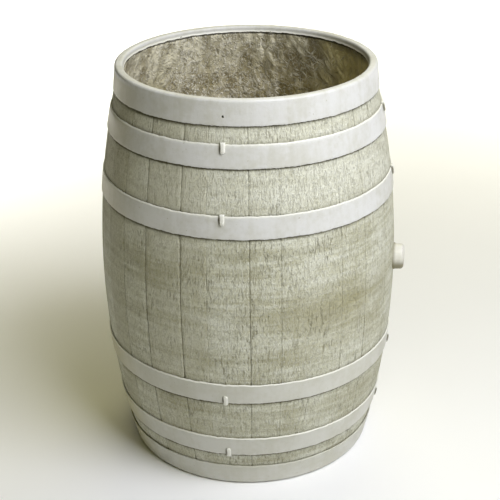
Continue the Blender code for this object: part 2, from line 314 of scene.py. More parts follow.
def make_stave_finish():
    f = Finish("washed_staves", Specular_IOR_Level=0.3)
    pores = f.noise(f.wall, 270, 0.19, 3, 0.62)
    flecks = f.noise(f.wall, 400, 0.36, 2, 0.6, 19)
    grit = f.noise(f.wall, 480, 0.42, 2, 0.65, 37)
    fibres = f.noise(f.wall, 120, 0.05, 3, 0.55, 3)
    saw = f.noise(f.wall, 95, 1, 4, 0.62, 7, level=0.09)
    clouds = f.noise(f.wall, 8, 0.7, 4, 0.6, 11)
    levels = f.noise(f.wall, 24, 1, 3, 0.55, 5, level=0.1)
    groups = f.smooth(f.noise(f.wall, 16, 0.6, 2, 0.5, 29), 0.5, 0.68)
    tint = f.attribute("stave_tint")

    wash = clouds * 0.22 + levels * 0.24 + fibres * 0.1 + saw * 0.3 + grit * 0.14
    f.color = f.ramp(f.smooth(wash, 0.39, 0.61), [
        (0, (0.43, 0.415, 0.28)), (0.5, (0.6, 0.597, 0.465)), (1, (0.725, 0.728, 0.615))])
    f.tint(f.smooth(f.z, 0.6, 0.74) * 0.45, (0.79, 0.792, 0.68))
    dents = f.smooth(pores, 0.47, 0.37)
    scars = f.smooth(pores, 0.43, 0.31) * groups
    raised = f.smooth(flecks, 0.51, 0.64)
    dusty = f.smooth(grit, 0.5, 0.36)
    f.tint(dents * 0.26 + scars * 0.42, (0.225, 0.2, 0.1))
    f.tint(dusty * 0.34, (0.285, 0.262, 0.15))
    f.tint(raised * 0.42, (0.78, 0.78, 0.69))

    # Painted shade: the side opposite the bung lies in shade, so it is darkened to an olive brown,
    # most of all near the top.
    painted_far_side_shade = f.smooth(f.side, -0.45, -0.95) * f.smooth(f.z, 0.56, 0.7)
    f.tint(painted_far_side_shade * 0.45, (0.42, 0.375, 0.17))

    # Each stave took the wash a little differently.
    f.tint(f.smooth(tint, 0.25, 1) * 0.34, (0.365, 0.34, 0.205))

    ragged = f.noise(f.wall, 12, 1, 4, 0.6, 17) * 0.1
    from_stain = distance_to(f, f.wall, -48, 0.466, (0.42, 0.42, 1.35)) + ragged
    f.tint(f.smooth(from_stain, 0.165, 0.06) * 0.7, (0.33, 0.305, 0.165))
    from_band = distance_to(f, f.wall, -79, 0.62, (0.12, 0.12, 1.8)) + ragged
    f.tint(f.smooth(from_band, 0.085, 0.05) * 0.4, (0.3, 0.285, 0.17))

    # Dirt lies in the seams. Along both edges of every hoop lies a line of dirt and painted shade,
    # painted stronger on the shaded side away from the bung.
    groove = f.attribute("groove")
    wander = (f.noise(f.wall, 50, 0.4, 3, 0.6, 23) - 0.5) * 0.0035
    beside = f.ramp((f.z + wander) / HEIGHT, hoop_dirt_and_shade_stops())
    dirt_and_shade = f.smooth(groove * 0.95 + beside * (0.85 + f.smooth(f.side, 0.1, -0.8) * 0.5), 0.02, 1)
    f.tint(dirt_and_shade * 0.88, (0.085, 0.075, 0.032))

    rough = 0.6 + pores * 0.12 + dirt_and_shade * 0.12 - clouds * 0.06
    height = raised * 0.42 + fibres * 0.4 + saw * 0.75 + clouds * 0.6
    height += grit * 0.36 - dents * 0.36 - scars * 0.5
    return f.surface(rough, height, 0.0021)


stave_finish = make_stave_finish()

# %% [markdown]
# ## The hoops' finish
#
# Hoops, collar, foot and bung are smooth cream gelcoat with a satin face. Up close it is never
# quite even: the roller leaves long soft waves, the cream yellows in patches, and fine dirt sits
# in small pits. Painted shade darkens the lower hoops, the side away from the bung and the bung's
# underside, and a painted highlight runs along the hoops' upper edges. A second copy of the same
# recipe, a shade warmer, serves for the bung.

# %% Satin cream gelcoat
CLIP_WIDTH = 0.0112
CLIP_MIDDLE = 0.0085         # from the hoop's edge
NAIL_RADIUS = 0.0021
NAIL_HEIGHT = 0.915


def clip_dirt_and_shadow(f):
    """1 in the crescent of dirt and painted shadow that lies along one side of every clip, also
    round each nail hole in the collar, and 0 elsewhere.
    """
    turn = f.math("ARCTAN2", f.part(f.place, "Y"), f.part(f.place, "X"))
    folded = f.math("WRAP", turn, math.pi / 4, -math.pi / 4)
    across = folded * BELLY_RADIUS + CLIP_WIDTH / 2 - 0.0002
    patches = []
    for name in HOOPS:
        low, high = hoop_spans[name]
        middle = high - CLIP_MIDDLE if low > BELLY_HEIGHT else low + CLIP_MIDDLE
        along = (f.z - middle) * 0.26
        apart = f.math("SQRT", across * across + along * along)
        patches.append(f.smooth(apart, 0.0036, 0.0014))
    from_nail = f.join(folded * BELLY_RADIUS, f.z - NAIL_HEIGHT, 0)
    return f.strongest(patches) + f.smooth(f.vector("LENGTH", from_nail, out=1), 0.0036, 0.002)


def make_cream_finish(name, clean, aged, shift, below=None):
    """Cream from clean to aged. below is the colour of the painted shade on the bung's underside."""
    f = Finish(name, Specular_IOR_Level=0.45)
    patches = f.noise(f.wall, 6, 1.6, 4, 0.6, shift)
    drips = f.noise(f.wall, 34, 0.16, 3, 0.55, shift + 2)
    mottle = f.noise(f.place, 90, 1, 3, 0.6, shift + 4)
    specks = f.smooth(f.noise(f.place, 210, 1, 1, 0.5, shift + 6), 0.74, 0.8)
    streaks = f.noise(f.wall, 150, 0.07, 3, 0.6, shift + 8)
    age = f.smooth(patches * 0.52 + drips * 0.2 + mottle * 0.2 + streaks * 0.08, 0.41, 0.62)
    f.color = f.mix(age, clean, aged)
    # Painted shade: the lower hoops face down, away from the light, so they are darkened and warmed.
    f.tint(f.smooth(f.z, 0.42, 0.28) * 0.36, (0.53, 0.52, 0.39))
    # Painted shade: the side opposite the bung lies in shade and is tinted a darker warm olive,
    # below the collar's top.
    painted_warm_shade = f.smooth(f.side + (patches - 0.5) * 0.3, -0.55, -0.95)
    f.tint(painted_warm_shade * f.smooth(f.z, 0.946, 0.934) * 0.72, (0.45, 0.405, 0.185))
    f.tint(specks * 0.5, (0.3, 0.27, 0.16))
    # Dirt and painted shade where a piece lies against the staves: the bands' edges there, and the
    # bung's base.
    grime = f.attribute("grime")
    f.tint(grime * 0.75, (0.16, 0.145, 0.075))
    # Painted highlight along the upper edges of the hoops, the lip's cut edge and the clips.
    f.tint(f.attribute("ledge"), (0.8, 0.795, 0.715))
    # Dirt and painted shadow beside each clip, where the clip shades the hoop.
    f.tint(clip_dirt_and_shadow(f) * 0.85, (0.08, 0.07, 0.03))
    # Painted shade on the bung's underside.
    if below:
        f.tint(f.smooth(f.z, BUNG_HEIGHT + 0.007, BUNG_HEIGHT - 0.016) * 0.9, below)
    rough = 0.36 + age * 0.1 + mottle * 0.06 + grime * 0.25
    height = patches * 0.6 + mottle * 0.22 + streaks * 0.04
    height += f.noise(f.place, 420, shift=shift) * 0.07
    return f.surface(rough, height, 0.0022)


hoop_finish = make_cream_finish("cream_gelcoat", (0.665, 0.665, 0.642), (0.565, 0.56, 0.5), 1)
bung_finish = make_cream_finish("bung_gelcoat", (0.68, 0.67, 0.62), (0.58, 0.565, 0.47), 31,
                                below=(0.185, 0.165, 0.072))

# %% [markdown]
# ## The raw laminate's finish
#
# Inside, nothing hides how the drum was made. Chopped strands of glass were wetted out with
# resin in overlapping sheets. Where resin is rich the wall is brown; where strands stayed dry
# they catch the light in silvery patches. Strands lie every way, so four fields of long thin
# streaks, each turned to its own angle, are laid over each other.

# %% Resin and strands
def turned_about_wall(f, degrees):
    """Wall coordinates leaned over, so that streaks along Z run at that angle."""
    lean = math.radians(degrees)
    return f.node("ShaderNodeVectorRotate", {"rotation_type": "EULER_XYZ"},
                  {"Vector": f.wall, "Rotation": (lean, lean, 0)})


STRAND_FIELDS = ((32, 150, 1), (-38, 170, 9), (58, 185, 15), (-14, 210, 21))


def make_mat_finish():
    f = Finish("raw_glass_mat", Specular_IOR_Level=0.5)
    strands = f.strongest([
        f.smooth(f.noise(turned_about_wall(f, degrees), scale, 0.11, shift=shift), 0.56, 0.68)
        for degrees, scale, shift in STRAND_FIELDS])
    wet = f.smooth(f.side + (f.noise(f.wall, 6, 1, 3, 0.6, 30) - 0.5), 0.3, 0.72)
    dry = f.smooth(f.noise(f.wall, 7, 0.7, 4, 0.6, 3), 0.4, 0.62) * (1 - wet)
    resin = f.noise(f.wall, 26, 1, 5, 0.7, 8)
    specks = f.noise(f.wall, 300, 1, 2, 0.6, 12)
    f.color = f.ramp(resin * 0.92 + specks * 0.08, [
        (0.25, (0.195, 0.158, 0.064)), (0.5, (0.318, 0.264, 0.119)), (0.75, (0.575, 0.51, 0.295))])
    pools = f.smooth(f.noise(turned_about_wall(f, 25), 14, 0.6, 3, 0.6, 52), 0.54, 0.4)
    f.tint(f.smooth(f.side, -0.45, -0.85) * 0.6, (0.66, 0.615, 0.41))
    f.tint(dry * 0.6, (0.69, 0.645, 0.505))
    f.tint(wet * 0.94, (1, 0.91, 0.52))
    top = f.smooth(f.z, 0.78, 0.92) * (1 - wet)
    f.tint(top * 0.78, (0.9, 0.855, 0.66))
    hollows = f.smooth(f.noise(turned_about_wall(f, 30), 42, 0.5, 4, 0.65, 41), 0.5, 0.36)
    f.tint(hollows * 0.52 * (1 - wet * 0.75), (0.16, 0.13, 0.052))
    f.tint(pools * 0.66 * (1 - wet), (0.205, 0.165, 0.07))
    sunken = f.smooth(f.attribute("relief"), 0.54, 0.34)
    f.tint(sunken * (0.5 - wet * 0.25), (0.19, 0.155, 0.065))
    f.tint(strands * (0.24 + dry * 0.44) * (1 - wet * 0.6), (0.94, 0.91, 0.8))
    # Painted shade under the lip, on the resin-rich side.
    painted_shade_under_lip = f.smooth(f.z + (resin - 0.5) * 0.035, 0.908, 0.934)
    f.tint(painted_shade_under_lip * wet * 0.75, (0.13, 0.11, 0.045))
    # Painted shadow: a near-black band in the gap just below the lip.
    gap = f.smooth(f.z + (specks - 0.5) * 0.004 + (resin - 0.5) * 0.01, 0.93, 0.9318)
    f.tint(gap * 0.88, (0.045, 0.038, 0.018))
    rough = 0.46 + dry * 0.2 + specks * 0.1 - wet * 0.08
    height = strands * 0.5 + specks * 0.16 + resin * 0.9 - hollows * 0.5
    return f.surface(rough, height, 0.003)


mat_finish = make_mat_finish()


def make_strand_finish():
    f = Finish("loose_strand", Specular_IOR_Level=0.5)
    tone = f.noise(f.place, 80)
    f.color = f.mix(tone, (0.46, 0.41, 0.27), (0.84, 0.81, 0.72))
    return f.surface(0.35 + tone * 0.2, tone, 0.0002)


strand_finish = make_strand_finish()

# %% [markdown]
# ## Turned pieces
#
# Nearly every piece is a section carried round the drum's axis. A Screw modifier would do that
# with even steps. The staves need uneven steps, close together at the seams, so one helper takes
# the section and the list of angles, and joins ring to ring. Sections are closed loops, so what
# comes out is a closed body.

# %% Carry a section round the axis
def ring_mesh(name, section, angles):
    """A closed section of (radius, height) points carried through the angles, in radians."""
    rings = len(angles)
    count = len(section)
    r = np.array([p[0] for p in section])
    z = np.array([p[1] for p in section])
    turn = np.array(angles)[:, None]
    points = np.stack([r * np.cos(turn), r * np.sin(turn), z + 0 * turn], axis=-1)
    here = np.arange(rings)[:, None] * count
    there = (np.arange(rings)[:, None] + 1) % rings * count
    row = np.arange(count)
    after = (row + 1) % count
    faces = np.stack([here + row, here + after, there + after, there + row], axis=-1)
    mesh = bpy.data.meshes.new(name)
    mesh.from_pydata(points.reshape(-1, 3).tolist(), [], faces.reshape(-1, 4).tolist())
    mesh.shade_smooth()
    return mesh


def even_angles(count):
    return [2 * math.pi * i / count for i in range(count)]


def store(mesh, name, values):
    """Keeps one number a point on the mesh, for the nodes to read."""
    mesh.attributes.new(name, "FLOAT", "POINT").data.foreach_set("value", np.array(values, float))


def round_corner(centre, radius, start, end, count):
    """Points of an arc round a centre in the section, between two angles in degrees."""
    turns = [math.radians(start + (end - start) * i / count) for i in range(count + 1)]
    return [(centre[0] + radius * math.cos(t), centre[1] + radius * math.sin(t)) for t in turns]


def between(first, last, count):
    """Points spaced evenly between two points of a section, both left out."""
    return [(first[0] + (last[0] - first[0]) * i / (count + 1),
             first[1] + (last[1] - first[1]) * i / (count + 1)) for i in range(1, count + 1)]


def mesh_from(shape, name):
    """A finished bmesh as a smooth mesh."""
    mesh = bpy.data.meshes.new(name)
    shape.to_mesh(mesh)
    shape.free()
    mesh.shade_smooth()
    return mesh


def show(mesh):
    obj = bpy.data.objects.new(mesh.name, mesh)
    bpy.context.scene.collection.objects.link(obj)
    return obj


# %% [markdown]
# ## Geometry Nodes for what hands and age did
#
# A mould copies every wave of the original, so no real face is a perfect turned one. A Geometry
# Nodes tree moves each point along its normal by noise read in wall coordinates. Each tree is
# built once, with named inputs for its sizes, and then used on piece after piece. The result is
# made a plain mesh and the modifier is dropped.

# %% Build and use a Geometry Nodes tree
class ShapeTree(Tree):
    """A Geometry Nodes tree with named inputs, which ends in Realize Instances, Set Material."""

    def __init__(self, name, inputs):
        super().__init__(bpy.data.node_groups.new(name, "GeometryNodeTree"))
        face = self.tree.interface
        face.new_socket(name="Geometry", in_out="INPUT", socket_type="NodeSocketGeometry")
        self.names = {}
        for label, default in inputs.items():
            kind = "NodeSocketMaterial" if default is None else "NodeSocketFloat"
            socket = face.new_socket(name=label, in_out="INPUT", socket_type=kind)
            self.names[label] = socket.identifier
            if default is not None:
                socket.default_value = default
        face.new_socket(name="Geometry", in_out="OUTPUT", socket_type="NodeSocketGeometry")
        self.entry = self.tree.nodes.new("NodeGroupInput")
        self.start = Wire(self, self.entry.outputs[0])
        self.place = self.node("GeometryNodeInputPosition")
        self.wall = wall_coordinates(self, self.place)

    def value(self, label):
        return Wire(self, self.entry.outputs[label])

    def stored(self, name):
        return self.node("GeometryNodeInputNamedAttribute", {"data_type": "FLOAT"}, {"Name": name})

    def keep(self, geometry, name, value):
        return self.node("GeometryNodeStoreNamedAttribute",
                         {"data_type": "FLOAT", "domain": "POINT"},
                         {"Geometry": geometry, "Name": name, "Value": value})

    def push(self, geometry, distance, lift=None):
        """Moves each point along its normal by distance, and by the vector lift too."""
        offset = self.node("ShaderNodeVectorMath", {"operation": "SCALE"},
                           {0: self.node("GeometryNodeInputNormal"), "Scale": distance})
        if lift:
            offset = self.vector("ADD", offset, lift)
        return self.node("GeometryNodeSetPosition", None, {"Geometry": geometry, "Offset": offset})

    def close(self, geometry):
        """Ends the tree with this geometry, and returns the tree."""
        real = self.node("GeometryNodeRealizeInstances", None, {0: geometry})
        done = self.node("GeometryNodeSetMaterial", None,
                         {"Geometry": real, "Material": self.value("Material")})
        leave = self.tree.nodes.new("NodeGroupOutput")
        self.tree.links.new(done.socket, leave.inputs[0])
        print(f"{self.tree.name}: {len(self.tree.nodes)} nodes")
        return self


def made_plain(obj, modifier):
    """Makes what the modifier shows the object's own mesh, and drops the modifier."""
    graph = bpy.context.evaluated_depsgraph_get()
    mesh = bpy.data.meshes.new_from_object(
        obj.evaluated_get(graph), preserve_all_data_layers=True, depsgraph=graph)
    obj.modifiers.remove(modifier)
    obj.data = mesh
    print(f"{obj.name}: {len(mesh.polygons)} faces")
    return obj


def shaped(obj, shape_tree, values):
    """Runs the tree on the object with these inputs and makes the result its plain mesh."""
    modifier = obj.modifiers.new("shape", "NODES")
    modifier.node_group = shape_tree.tree
    for label, value in values.items():
        modifier[shape_tree.names[label]] = value
    made_plain(obj, modifier)
    obj.data.name = obj.name
    return obj


def settle(obj, slot, *nodes, body="barrel"):
    """Hands a finished piece to its body, in place of the plain solids it stands for."""
    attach(obj, body)
    if nodes:
        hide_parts(*nodes)


# %% [markdown]
# ## The staved wall
#
# On a real cask no two staves are alike. The moulding has 28 of them: seven widths, repeated on
# each quarter. Points crowd together at the seams, where the groove is only a few millimetres
# wide, and thin out across a stave. The groove, the rounded stave edges and the long hollows of
# the grain are moved geometry. Finer pores are left to the finish.

# %% Stave widths and seams
STAVE_WIDTHS = (15.5, 10.2, 15.6, 11.4, 12.3, 12.3, 12.7)
SEAM_WEAR = (1.0, 1.0, 0.35, 0.9, 0.55, 0.12, 0.55)
QUARTER_WEAR = (1.0, 0.75, 0.85, 1.15)
FRONT_TINTS = (0.8, 0.72, 0.22, 0.1, 0.26, 0.3, 0.16)
FIRST_SEAM = -121.5
WALL = 0.0032
POINTS_PER_STAVE = 28
STAVE_ROWS = 104


def stave_layout():
    """Angle of each upright line, its distance from the nearest seam, that seam's wear, a tint."""
    draw = random.Random(28)
    seam = FIRST_SEAM
    widths = STAVE_WIDTHS * 4
    wear = [w * q for q in QUARTER_WEAR for w in SEAM_WEAR]
    angles, distances, wears, tints = [], [], [], []
    for number, width in enumerate(widths):
        tint = FRONT_TINTS[number] if number < len(FRONT_TINTS) else draw.random()
        for i in range(POINTS_PER_STAVE):
            t = i / POINTS_PER_STAVE
            crowded = t - 0.105 * math.sin(2 * math.pi * t)
            angles.append(math.radians(seam + width * crowded))
            near = crowded if crowded < 0.5 else crowded - 1
            distances.append(math.radians(width * near) * BELLY_RADIUS)
            wears.append(wear[number] if near >= 0 else wear[(number + 1) % len(wear)])
            tints.append(tint)
        seam += width
    return angles, distances, wears, tints


# %% Tree: press in the seams and the grain
def make_weathering():
    t = ShapeTree("weather_staves", {
        "Seam Depth": 0.0017, "Seam Width": 0.0011, "Edge Rounding": 0.0007,
        "Grain Depth": 0.0006, "Wander": 0.0022, "Stave Step": 0.0009, "Material": None})
    wall = t.wall
    outer = t.stored("outer")
    wear = t.stored("seam_wear")
    drift = (t.noise(wall, 9, 1, 3, 0.6, 5, level=0.3) - 0.5) * t.value("Wander")
    apart = t.stored("seam_distance") + drift
    fraction = apart / t.value("Seam Width")
    broken = t.smooth(t.noise(wall, 22, 1, 3, 0.6, 2, level=0.5), 0.34, 0.56)
    z = t.part(wall, "Z")
    belly = t.smooth(z, 0.2, 0.32) * t.smooth(z, 0.7, 0.62)
    groove = t.math("EXPONENT", fraction * fraction * -1.0)
    groove = groove * wear * (0.74 + broken * 0.26) * (0.76 + belly * 0.24)
    edge = t.smooth(abs(apart), 0.01, 0.0) * t.value("Edge Rounding") * wear
    grain = t.noise(wall, 95, 0.06, 3, 0.6, 1) - 0.5
    waves = t.noise(wall, 10, 0.6, 2, 0.5, 4) - 0.5
    level = (t.stored("stave_tint") - 0.5) * t.value("Stave Step") * t.smooth(abs(apart), 0.0, 0.004)
    out = (grain + waves * 0.8) * t.value("Grain Depth") + level
    out = out - groove * t.value("Seam Depth") - edge
    return t.close(t.push(t.keep(t.start, "groove", groove * outer), out * outer))


# %% Make the staved wall
def make_staves():
    angles, distances, wears, tints = stave_layout()
    low, high = span("stave_shell")
    outer = wall_line(0.0, [high + (low - high) * i / STAVE_ROWS for i in range(STAVE_ROWS + 1)])
    inner = wall_line(-WALL, (low, 0.3, BELLY_HEIGHT, 0.7, high))
    mesh = ring_mesh("staved_wall", outer + inner, angles)
    store(mesh, "outer", ([1.0] * len(outer) + [0.0] * len(inner)) * len(angles))
    for label, values in (("seam_distance", distances), ("seam_wear", wears),
                          ("stave_tint", tints)):
        store(mesh, label, np.repeat(values, len(outer) + len(inner)))
    return shaped(show(mesh), make_weathering(), {"Material": stave_finish})


staves = make_staves()

# %% [markdown]
# ## The hoops, the collar and the foot
#
# Each hoop is a thin band with softened corners, standing a few millimetres off the staves. The
# collar is the top hoop: it rolls over the wall's edge and turns down inside as a lip, whose
# lower edge was cut by hand. The foot hoop rolls under the drum in the same way.

# %% Tree: the waves of a hand-made mould
def make_hand_waves():
    t = ShapeTree("hand_waves", {
        "Wave Depth": 0.0015, "Edge Wander": 0.0062, "Cut Wander": 0.0075, "Material": None})
    wall = t.wall
    waves = t.noise(wall, 7, 1, 2, 0.5, 1) - 0.5
    ripples = t.noise(wall, 45, 1, 2, 0.5, 6) - 0.5
    around = (t.noise(wall, 40, 0.3, 4, 0.85, 9) - 0.5) * t.stored("edge")
    cut = (t.noise(wall, 42, 0.02, 4, 0.7, 12) - 0.5) * t.stored("hand_cut")
    out = (waves + ripples * 0.18) * t.value("Wave Depth")
    lift = t.join(0.0, 0.0, around * t.value("Edge Wander") + cut * t.value("Cut Wander"))
    return t.close(t.push(t.start, out, lift))


hand_waves = make_hand_waves()

# %% Make a band from its section
AROUND = 640


def make_band(name, section, edge, cut=None, grime=None, ledge=None):
    """A turned piece with hand waves. edge and cut say how far each section point may wander."""
    mesh = ring_mesh(name, section, even_angles(AROUND))
    for label, values in (("edge", edge), ("hand_cut", cut), ("grime", grime), ("ledge", ledge)):
        store(mesh, label, (values or [0.0] * len(section)) * AROUND)
    return shaped(show(mesh), hand_waves, {"Material": hoop_finish})


PROUD = 0.0032              # from the staves to a hoop's face
LIFT = 0.0006               # from the staves to a hoop's back
CORNER = 0.0009             # rounding of a hoop's lower edge
SOFT_CORNER = 0.0024        # rounding of its upper edge


def make_hoop(name):
    low, high = hoop_spans[name]
    middle = (low + high) / 2
    top = stave_radius(high) + PROUD
    foot = stave_radius(low) + PROUD
    section = round_corner((top - SOFT_CORNER, high - SOFT_CORNER), SOFT_CORNER, 90, 0, 6)
    section += wall_line(PROUD, np.linspace(high - SOFT_CORNER - 0.001, low + CORNER, 10)[:-1])
    section += round_corner((foot - CORNER, low + CORNER), CORNER, 0, -90, 4)
    section += wall_line(LIFT, (low, middle, high))
    edge = [1.0 if abs(z - middle) > 0.4 * (high - low) else 0.0 for _, z in section]
    # Dirt and painted shade on the points that lie against the staves, and a painted highlight along
    # the rounded upper edge.
    grime = [0.8 if r < stave_radius(z) + 0.0012 else 0.0 for r, z in section]
    ledge = [0.8 if z > high - SOFT_CORNER - 0.0002 else 0.0 for _, z in section]
    return make_band(name + "_band", section, edge, grime=grime, ledge=ledge)


hoop_bands = {name: make_hoop(name) for name in HOOPS}

# %% Make the collar
RIM_RADIUS = 0.296
RIM_ROLL = 0.0065
LIP_RADIUS = 0.2765
LIP_DEPTH = 0.0145
LIP_ROLL = 0.0055
LIP_FLARE = 0.0014
COLLAR_WALL = 0.003


def make_collar():
    low = hoop_spans["rim_collar"][0]
    roll = HEIGHT - RIM_ROLL
    face = stave_radius(low) + PROUD
    lip_low = HEIGHT - LIP_DEPTH
    edge_in = LIP_RADIUS - LIP_FLARE
    section = [(edge_in + 0.0002, lip_low + 0.0018), (LIP_RADIUS - 0.0004, lip_low + 0.0034)]
    section += between((LIP_RADIUS, lip_low + 0.0046), (LIP_RADIUS, HEIGHT - LIP_ROLL), 3)
    section += round_corner((LIP_RADIUS + LIP_ROLL, HEIGHT - LIP_ROLL), LIP_ROLL, 180, 90, 7)
    section += between((LIP_RADIUS + LIP_ROLL, HEIGHT), (RIM_RADIUS - RIM_ROLL, HEIGHT), 2)
    section += round_corner((RIM_RADIUS - RIM_ROLL, roll), RIM_ROLL, 90, 6, 9)
    section += between((RIM_RADIUS, roll), (face, low + CORNER), 12)
    section += round_corner((face - CORNER, low + CORNER), CORNER, 0, -90, 4)
    section += wall_line(LIFT, np.linspace(low, 0.939, 5))
    section += [(RIM_RADIUS - RIM_ROLL, HEIGHT - COLLAR_WALL),
                (LIP_RADIUS + LIP_ROLL, HEIGHT - COLLAR_WALL),
                (LIP_RADIUS + COLLAR_WALL, HEIGHT - LIP_ROLL),
                (edge_in + COLLAR_WALL, lip_low + 0.001)]
    section += round_corner((edge_in + 0.0012, lip_low + 0.0012), 0.0012, -20, -180, 5)
    edge = [1.0 if z < low + 0.006 and r > LIP_RADIUS + 0.01 else 0.0 for r, z in section]
    cut = [max(0.0, min(1.0, (lip_low + 0.008 - z) / 0.006)) if r < LIP_RADIUS + 0.004 else 0.0
           for r, z in section]
    # Dirt and painted shade on the collar's hidden inner faces and along its foot against the
    # staves, and a painted highlight along the lip's cut edge.
    grime = [1.0 if z < HEIGHT - 0.002 and LIP_RADIUS + 0.0015 < r < stave_radius(z) + 0.0012
             else 0.0 for r, z in section]
    ledge = [0.9 if z < lip_low + 0.0036 and r < LIP_RADIUS + 0.002 else 0.0 for r, z in section]
    return make_band("rolled_collar", section, edge, cut, grime, ledge)


collar = make_collar()


def make_foot():
    high = hoop_spans["foot_hoop"][1]
    roll = 0.012
    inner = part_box("base_head")[1].x + 0.0003
    ledge = 0.0052
    face = stave_radius(roll) + PROUD
    top = stave_radius(high) + PROUD
    section = round_corner((top - CORNER, high - CORNER), CORNER, 90, 0, 4)
    section += wall_line(PROUD, np.linspace(high - CORNER, roll, 8)[1:-1])
    section += round_corner((face - roll, roll), roll, 0, -90, 9)
    section += [(inner, 0.0), (inner, ledge)] + wall_line(LIFT, (ledge, 0.03, high))
    edge = [1.0 if z > high - 0.006 else 0.0 for _, z in section]
    return make_band("foot_band", section, edge)


foot = make_foot()

# %% [markdown]
# ## The raw lining, the base and their fillet
#
# The lining's inner face is the roughest surface of all: sheets of mat overlap in upright
# ridges, and rollers leave lumps and hollows. Only that face gets close points. The floor and
# the fillet between them are the same laminate, so the same tree shapes all three.

# %% Tree: laid-up mat
MAT_OVERLAPS = (136.0, 90.0, 28.0, -40.0, -105.0, -170.0)


def make_mat_relief():
    t = ShapeTree("laid_up_mat", {
        "Lump Depth": 0.0034, "Wrinkle Depth": 0.0022, "Strand Depth": 0.0012,
        "Overlap Depth": 0.0026, "Material": None})
    lumps = t.noise(t.place, 11, 0.8, 4, 0.6, 2)
    strands = t.noise(t.place, 90, 1, 3, 0.65, 5)
    fold = t.noise(t.place, 21, 0.6, 3, 0.6, 25)
    wrinkles = t.smooth(abs(fold - 0.5), 0.1, 0.0)
    bend = (t.noise(t.wall, 7, 1, 4, 0.6, 8, level=0.2) - 0.5) * 0.11
    overlap = None
    for degrees in MAT_OVERLAPS:
        apart = distance_to(t, t.wall, degrees, 0.5, (1.0, 1.0, 0.0)) + bend
        ridge = t.smooth(abs(apart - 0.02), 0.014, 0.002)
        overlap = ridge if overlap is None else overlap + ridge
    out = lumps * t.value("Lump Depth") + strands * t.value("Strand Depth")
    out = out + overlap * t.value("Overlap Depth") + wrinkles * t.value("Wrinkle Depth")
    relief = lumps * 0.5 + strands * 0.25 + wrinkles * 0.2 + overlap * 0.3
    return t.close(t.push(t.keep(t.start, "relief", relief), out * t.stored("rough_side")))


mat_relief = make_mat_relief()

# %% Make the lining, the floor and the fillet
BEHIND_SKIN = 0.0058         # from the staves' face to the lining's back
MAT = 0.0028


def make_lining():
    low, high = span("glass_mat_lining")
    rows = 170
    around = 440
    inner = wall_line(0.0012 - BEHIND_SKIN - MAT, np.linspace(low, high, rows))
    outer = wall_line(-BEHIND_SKIN, (high, 0.7, BELLY_HEIGHT, 0.3, low))
    mesh = ring_mesh("laminate_lining", inner + outer, even_angles(around))
    store(mesh, "rough_side", ([1.0] * len(inner) + [0.0] * len(outer)) * around)
    return shaped(show(mesh), mat_relief, {"Material": mat_finish})


def make_floor():
    """The base: rough laminate above, a plain moulded face below."""
    low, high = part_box("base_head")
    rim = high.x
    top = high.z - 0.0015
    rings = 60
    around = 160
    shape = bmesh.new()

    def loop(r, z):
        return [shape.verts.new((r * math.cos(a), r * math.sin(a), z)) for a in even_angles(around)]

    loops = [loop(rim * (i + 1) / rings, top) for i in range(rings)]
    under = loop(rim, 0.0)
    centre = shape.verts.new((0.0, 0.0, top))
    for i in range(around):
        j = (i + 1) % around
        shape.faces.new((centre, loops[0][i], loops[0][j]))
        for near, far in zip(loops, loops[1:] + [under]):
            shape.faces.new((near[i], far[i], far[j], near[j]))
    shape.faces.new(list(reversed(under)))
    mesh = mesh_from(shape, "laminate_base")
    heights = np.array([v.co.z for v in mesh.vertices])
    inside = np.array([v.co.xy.length < rim * 0.99 for v in mesh.vertices])
    store(mesh, "rough_side", ((heights > 0.001) & inside).astype(float))
    return shaped(show(mesh), mat_relief,
                  {"Material": mat_finish, "Lump Depth": 0.0016, "Overlap Depth": 0.0})


def make_fillet():
    low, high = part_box("base_bond_fillet")
    reach = high.z - low.z
    wall = stave_radius(high.z) - BEHIND_SKIN - MAT + 0.0008
    corner = stave_radius(low.z) - BEHIND_SKIN - MAT
    section = [(wall, high.z), (corner, low.z)]
    section += between((corner, low.z), (corner - reach, low.z), 1)
    sweep = round_corner((corner - reach, high.z), reach - 0.001, 0, -90, 14)
    section += list(reversed(sweep))
    around = 360
    mesh = ring_mesh("laminate_fillet", section, even_angles(around))
    store(mesh, "rough_side", ([0.0, 0.0, 0.0] + [1.0] * len(sweep)) * around)
    return shaped(show(mesh), mat_relief,
                  {"Material": mat_finish, "Lump Depth": 0.0012, "Overlap Depth": 0.0})


lining = make_lining()
floor_laminate = make_floor()
fillet = make_fillet()

# %% [markdown]
# ## Bung and bung hole
#
# The bung is a tapered plug with a softened end. Where it meets the staves its edge flares a
# little. It is turned round its own axis, then laid along +X at the belly. The hole is bored
# through the wall and the lining with a Boolean, so that it shows when the bung is out.

# %% Bore the hole
BUNG_HOLE = 0.0262


def bore(obj, radius, height, sides, segments=64):
    """Cuts level round holes through a closed wall, one at each of these angles."""
    shape = bmesh.new()
    for degrees in sides:
        made = bmesh.ops.create_cone(shape, cap_ends=True, segments=segments, radius1=radius,
                                     radius2=radius, depth=0.1)
        place = Matrix.Rotation(math.radians(degrees), 4, "Z") @ Matrix.Translation(
            (BELLY_RADIUS - 0.02, 0, height)) @ Matrix.Rotation(math.radians(90), 4, "Y")
        bmesh.ops.transform(shape, matrix=place, verts=made["verts"])
    drill = mesh_from(shape, "drill")
    drill.shade_flat()
    cutter = show(drill)
    hole = obj.modifiers.new("hole", "BOOLEAN")
    hole.operation = "DIFFERENCE"
    hole.object = cutter
    made_plain(obj, hole)
    bpy.data.objects.remove(cutter)


bore(staves, BUNG_HOLE, BUNG_HEIGHT, (0.0,))
bore(lining, BUNG_HOLE, BUNG_HEIGHT, (0.0,))
bore(collar, NAIL_RADIUS, NAIL_HEIGHT, (0.0, 90.0, 180.0, 270.0), 16)

